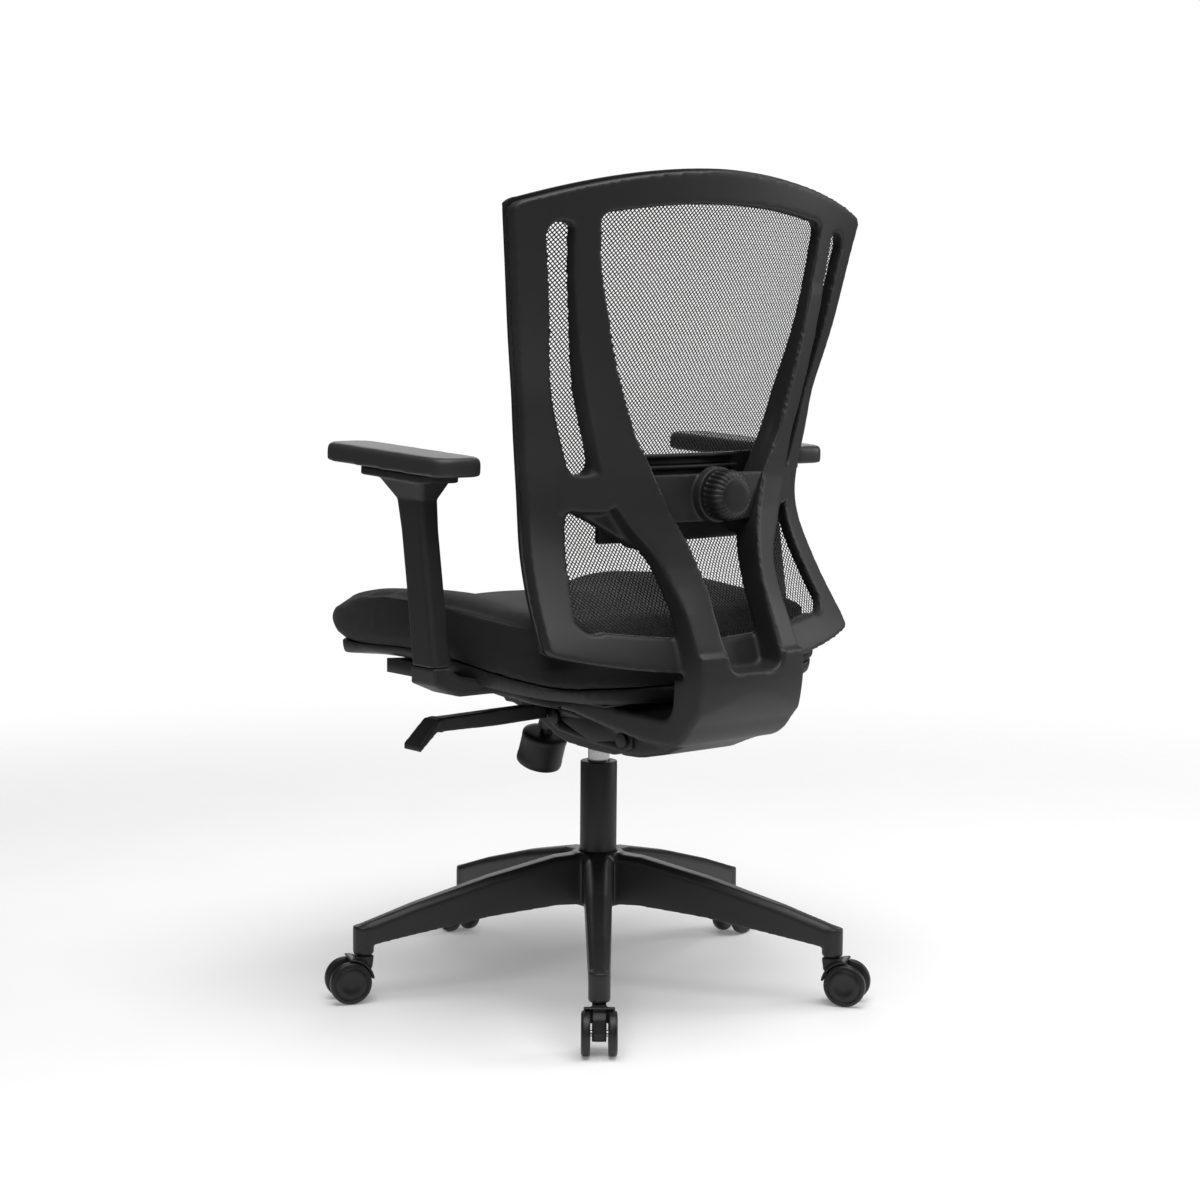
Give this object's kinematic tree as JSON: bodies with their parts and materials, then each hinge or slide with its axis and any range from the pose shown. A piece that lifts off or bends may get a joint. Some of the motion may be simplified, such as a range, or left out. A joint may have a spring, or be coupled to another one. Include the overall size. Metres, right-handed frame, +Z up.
{
  "type": "swivel office chair",
  "caption": "Swivel task chair with a mesh back in a curved open frame, a J shaped spine, height adjustable arms, fabric seat and a star base on twin-wheel casters.",
  "frame": {"origin": "on the floor, on the seat's swivel axis", "axes": "+Z up, +X towards the sitter's left, +Y to the rear of the seat"},
  "size_m": [0.6997, 0.6788, 1.0482],
  "materials": {
    "base_nylon": "fine satin moulded nylon",
    "frame_plastic": "matt moulded plastic",
    "dark_plastic": "matt moulded plastic",
    "soft_plastic": "satin soft polyurethane",
    "wheel_plastic": "satin moulded nylon tread",
    "cushion_fabric": "close woven matt fabric",
    "back_mesh": "open diagonal mesh",
    "column_paint": "satin powder coat",
    "mechanism_paint": "satin powder coat",
    "bright_steel": "ground steel",
    "spring_steel": "oiled spring steel",
    "screw_steel": "blackened steel"
  },
  "bodies": {
    "base": {"star_base": "base_nylon", "column_tube": "column_paint", "thrust_bearing": "bright_steel"},
    "swivel": {"piston_rod": "bright_steel", "retaining_clip": "screw_steel"},
    "mechanism": {"gas_cylinder": "bright_steel", "mechanism_housing": "mechanism_paint", "recline_pivot": "screw_steel", "tilt_pivot": "screw_steel", "tilt_springs": "spring_steel"},
    "release": {"release_button": "dark_plastic"},
    "lever": {"height_lever": "dark_plastic", "lever_paddle": "dark_plastic"},
    "tension": {"tension_knob": "dark_plastic", "tension_screw": "screw_steel"},
    "seat_frame": {"seat_plate": "mechanism_paint", "slide_rails": "dark_plastic", "bracket_bolts": "screw_steel", "arm_bracket_left": "frame_plastic", "arm_bracket_right": "frame_plastic"},
    "seat": {"seat_pan": "frame_plastic", "seat_cushion": "cushion_fabric"},
    "slide_lever": {"slide_paddle": "dark_plastic"},
    "arm_left": {"arm_sleeve_left": "frame_plastic"},
    "arm_right": {"arm_sleeve_right": "frame_plastic"},
    "button_left": {"arm_button_left": "dark_plastic"},
    "button_right": {"arm_button_right": "dark_plastic"},
    "pad_left": {"arm_pad_left": "soft_plastic"},
    "pad_right": {"arm_pad_right": "soft_plastic"},
    "back": {"back_frame": "frame_plastic", "back_spine": "frame_plastic", "link_plates": "mechanism_paint", "spine_bolts": "screw_steel", "mesh_gasket": "dark_plastic", "back_mesh": "back_mesh", "lumbar_carrier": "frame_plastic"},
    "lumbar": {"lumbar_pad": "dark_plastic"},
    "lumbar_drive": {"lumbar_knob": "dark_plastic", "lumbar_screw": "screw_steel"},
    "fork_1": {"caster_hood_1": "base_nylon", "caster_pins_1": "bright_steel"},
    "wheels_1": {"caster_wheels_1": "wheel_plastic"},
    "fork_2": {"caster_hood_2": "base_nylon", "caster_pins_2": "bright_steel"},
    "wheels_2": {"caster_wheels_2": "wheel_plastic"},
    "fork_3": {"caster_hood_3": "base_nylon", "caster_pins_3": "bright_steel"},
    "wheels_3": {"caster_wheels_3": "wheel_plastic"},
    "fork_4": {"caster_hood_4": "base_nylon", "caster_pins_4": "bright_steel"},
    "wheels_4": {"caster_wheels_4": "wheel_plastic"},
    "fork_5": {"caster_hood_5": "base_nylon", "caster_pins_5": "bright_steel"},
    "wheels_5": {"caster_wheels_5": "wheel_plastic"}
  },
  "joints": [
    {"name": "swivel", "type": "hinge", "parent": "base", "child": "swivel", "pos_m": [0, 0, 0.2], "axis": [0, 0, 1], "continuous": true},
    {"name": "seat_lift", "type": "slide", "parent": "swivel", "child": "mechanism", "axis": [0, 0, 1], "range_m": [0, 0.1]},
    {"name": "back_recline", "type": "hinge", "parent": "mechanism", "child": "back", "pos_m": [0, -0.01, 0.357], "axis": [-1, 0, 0], "range_deg": [0, 20], "stiffness_Nm_per_rad": 90, "springref_deg": -20.05},
    {"name": "seat_tilt", "type": "hinge", "parent": "mechanism", "child": "seat_frame", "pos_m": [0, -0.105, 0.376], "axis": [-1, 0, 0], "range_deg": [0, 7]},
    {"name": "seat_depth", "type": "slide", "parent": "seat_frame", "child": "seat", "axis": [0, -1, 0], "range_m": [0, 0.05]},
    {"name": "slide_release", "type": "hinge", "parent": "seat", "child": "slide_lever", "pos_m": [0.2, -0.108, 0.422], "axis": [0, -1, 0], "range_deg": [0, 7], "stiffness_Nm_per_rad": 1.2, "springref_deg": -11.46},
    {"name": "height_release", "type": "hinge", "parent": "mechanism", "child": "lever", "pos_m": [0.044, -0.034, 0.366], "axis": [0, -1, 0], "range_deg": [0, 6], "stiffness_Nm_per_rad": 6, "springref_deg": -11.46},
    {"name": "gas_button", "type": "slide", "parent": "mechanism", "child": "release", "axis": [0, 0, -1], "range_m": [0, 0.0042], "stiffness_N_per_m": 3000, "springref_m": -0.001},
    {"name": "tilt_tension", "type": "hinge", "parent": "mechanism", "child": "tension", "pos_m": [0, -0.111, 0.317], "axis": [0, -0.342, -0.9397], "range_deg": [0, 1080]},
    {"name": "lumbar_turn", "type": "hinge", "parent": "back", "child": "lumbar_drive", "pos_m": [0, 0.24, 0.6555], "axis": [0, 1, 0], "range_deg": [0, 720]},
    {"name": "lumbar_depth", "type": "slide", "parent": "back", "child": "lumbar", "axis": [0, -1, 0], "range_m": [0, 0.008]},
    {"name": "arm_height_left", "type": "slide", "parent": "seat_frame", "child": "arm_left", "axis": [0, -0.1504, 0.9886], "range_m": [0, 0.07]},
    {"name": "arm_catch_left", "type": "slide", "parent": "arm_left", "child": "button_left", "axis": [0, 1, 0], "range_m": [0, 0.0032], "stiffness_N_per_m": 900, "springref_m": -0.001},
    {"name": "pad_slide_left", "type": "slide", "parent": "arm_left", "child": "pad_left", "axis": [0, -0.9989, 0.0462], "range_m": [-0.025, 0.025]},
    {"name": "arm_height_right", "type": "slide", "parent": "seat_frame", "child": "arm_right", "axis": [0, -0.1504, 0.9886], "range_m": [0, 0.07]},
    {"name": "arm_catch_right", "type": "slide", "parent": "arm_right", "child": "button_right", "axis": [0, 1, 0], "range_m": [0, 0.0032], "stiffness_N_per_m": 900, "springref_m": -0.001},
    {"name": "pad_slide_right", "type": "slide", "parent": "arm_right", "child": "pad_right", "axis": [0, -0.9989, 0.0462], "range_m": [-0.025, 0.025]},
    {"name": "caster_swivel_1", "type": "hinge", "parent": "base", "child": "fork_1", "pos_m": [0.20036, 0.24306, 0.07], "axis": [0, 0, 1], "continuous": true},
    {"name": "caster_roll_1", "type": "hinge", "parent": "fork_1", "child": "wheels_1", "pos_m": [0.21309, 0.25849, 0.027], "axis": [-0.7716, 0.6361, 0], "continuous": true},
    {"name": "caster_swivel_2", "type": "hinge", "parent": "base", "child": "fork_2", "pos_m": [-0.16925, 0.26567, 0.07], "axis": [0, 0, 1], "continuous": true},
    {"name": "caster_roll_2", "type": "hinge", "parent": "fork_2", "child": "wheels_2", "pos_m": [-0.17999, 0.28254, 0.027], "axis": [-0.8434, -0.5373, 0], "continuous": true},
    {"name": "caster_swivel_3", "type": "hinge", "parent": "base", "child": "fork_3", "pos_m": [-0.30497, -0.07887, 0.07], "axis": [0, 0, 1], "continuous": true},
    {"name": "caster_roll_3", "type": "hinge", "parent": "fork_3", "child": "wheels_3", "pos_m": [-0.32433, -0.08388, 0.027], "axis": [0.2504, -0.9681, 0], "continuous": true},
    {"name": "caster_swivel_4", "type": "hinge", "parent": "base", "child": "fork_4", "pos_m": [-0.01923, -0.31441, 0.07], "axis": [0, 0, 1], "continuous": true},
    {"name": "caster_roll_4", "type": "hinge", "parent": "fork_4", "child": "wheels_4", "pos_m": [-0.02045, -0.33437, 0.027], "axis": [0.9981, -0.061, 0], "continuous": true},
    {"name": "caster_swivel_5", "type": "hinge", "parent": "base", "child": "fork_5", "pos_m": [0.29308, -0.11545, 0.07], "axis": [0, 0, 1], "continuous": true},
    {"name": "caster_roll_5", "type": "hinge", "parent": "fork_5", "child": "wheels_5", "pos_m": [0.31169, -0.12278, 0.027], "axis": [0.3665, 0.9304, 0], "continuous": true}
  ],
  "couplings": [
    {"joint": "seat_tilt", "follows": "back_recline", "ratio": 0.35},
    {"joint": "gas_button", "follows": "height_release", "m_per_rad": 0.04},
    {"joint": "lumbar_depth", "follows": "lumbar_turn", "m_per_rad": 0.00063662}
  ]
}
